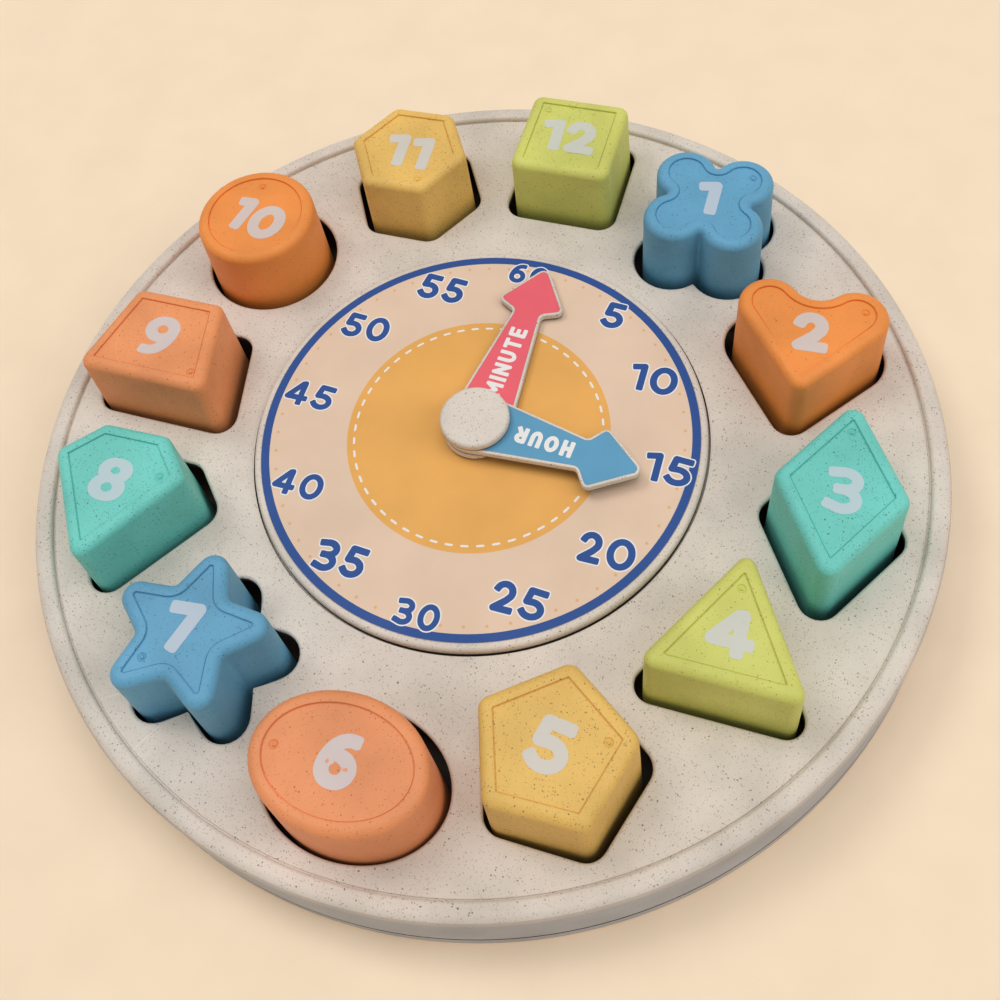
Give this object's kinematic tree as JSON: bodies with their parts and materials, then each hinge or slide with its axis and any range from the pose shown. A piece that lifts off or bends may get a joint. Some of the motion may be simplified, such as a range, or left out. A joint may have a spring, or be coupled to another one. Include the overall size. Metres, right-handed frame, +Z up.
{
  "type": "shape sorter clock",
  "caption": "Round moulded base with a ring of shaped sockets, each holding a matching numbered block, round a raised dial with two turning arrow hands.",
  "frame": {"origin": "on the table, under the dial's axis: the centre of the base's underside", "axes": "+Z up out of the dial, +Y towards twelve o'clock, +X towards three o'clock"},
  "size_m": [0.244, 0.244, 0.041],
  "materials": {
    "straw": "satin moulded plastic with fine brown and grey straw flecks",
    "blue": "satin moulded plastic",
    "orange": "satin moulded plastic",
    "rust": "satin moulded plastic",
    "salmon": "satin moulded plastic",
    "mint": "satin moulded plastic",
    "lime": "satin moulded plastic",
    "yellow": "satin moulded plastic",
    "peach": "printed film",
    "pink": "printed film",
    "sky": "printed film",
    "steel": "plain steel screw"
  },
  "bodies": {
    "base": {"upper_shell": "straw", "lower_shell": "straw", "case_screw_1": "steel", "case_screw_2": "steel", "case_screw_3": "steel", "case_screw_4": "steel", "case_screw_5": "steel", "case_screw_6": "steel", "dial_disc": "straw", "dial_label": "peach", "pivot_cap": "straw", "pivot_washer": "straw", "pivot_screw": "steel"},
    "minute_hand": {"minute_hand": "straw", "minute_hand_label": "pink"},
    "hour_hand": {"hour_hand": "straw", "hour_hand_label": "sky"},
    "block_01": {"block_01_clover": "blue", "block_01_base_plate": "blue"},
    "block_02": {"block_02_heart": "orange", "block_02_base_plate": "orange"},
    "block_03": {"block_03_diamond": "mint", "block_03_base_plate": "mint"},
    "block_04": {"block_04_triangle": "lime", "block_04_base_plate": "lime"},
    "block_05": {"block_05_pentagon": "yellow", "block_05_base_plate": "yellow"},
    "block_06": {"block_06_oval": "salmon", "block_06_base_plate": "salmon"},
    "block_07": {"block_07_star": "blue", "block_07_base_plate": "blue"},
    "block_08": {"block_08_gem": "mint", "block_08_base_plate": "mint"},
    "block_09": {"block_09_trapezoid": "rust", "block_09_base_plate": "rust"},
    "block_10": {"block_10_circle": "orange", "block_10_base_plate": "orange"},
    "block_11": {"block_11_hexagon": "yellow", "block_11_base_plate": "yellow"},
    "block_12": {"block_12_square": "lime", "block_12_base_plate": "lime"}
  },
  "joints": [
    {"name": "minute_hand_turn", "type": "hinge", "parent": "base", "child": "minute_hand", "pos_m": [0, 0, 0.0249], "axis": [0, 0, 1], "continuous": true},
    {"name": "hour_hand_turn", "type": "hinge", "parent": "base", "child": "hour_hand", "pos_m": [0, 0, 0.0276], "axis": [0, 0, 1], "continuous": true},
    {"name": "block_01_lift", "type": "slide", "parent": "base", "child": "block_01", "axis": [0, 0, 1], "range_m": [0, 0.045]},
    {"name": "block_02_lift", "type": "slide", "parent": "base", "child": "block_02", "axis": [0, 0, 1], "range_m": [0, 0.045]},
    {"name": "block_03_lift", "type": "slide", "parent": "base", "child": "block_03", "axis": [0, 0, 1], "range_m": [0, 0.045]},
    {"name": "block_04_lift", "type": "slide", "parent": "base", "child": "block_04", "axis": [0, 0, 1], "range_m": [0, 0.045]},
    {"name": "block_05_lift", "type": "slide", "parent": "base", "child": "block_05", "axis": [0, 0, 1], "range_m": [0, 0.045]},
    {"name": "block_06_lift", "type": "slide", "parent": "base", "child": "block_06", "axis": [0, 0, 1], "range_m": [0, 0.045]},
    {"name": "block_07_lift", "type": "slide", "parent": "base", "child": "block_07", "axis": [0, 0, 1], "range_m": [0, 0.045]},
    {"name": "block_08_lift", "type": "slide", "parent": "base", "child": "block_08", "axis": [0, 0, 1], "range_m": [0, 0.045]},
    {"name": "block_09_lift", "type": "slide", "parent": "base", "child": "block_09", "axis": [0, 0, 1], "range_m": [0, 0.045]},
    {"name": "block_10_lift", "type": "slide", "parent": "base", "child": "block_10", "axis": [0, 0, 1], "range_m": [0, 0.045]},
    {"name": "block_11_lift", "type": "slide", "parent": "base", "child": "block_11", "axis": [0, 0, 1], "range_m": [0, 0.045]},
    {"name": "block_12_lift", "type": "slide", "parent": "base", "child": "block_12", "axis": [0, 0, 1], "range_m": [0, 0.045]}
  ]
}
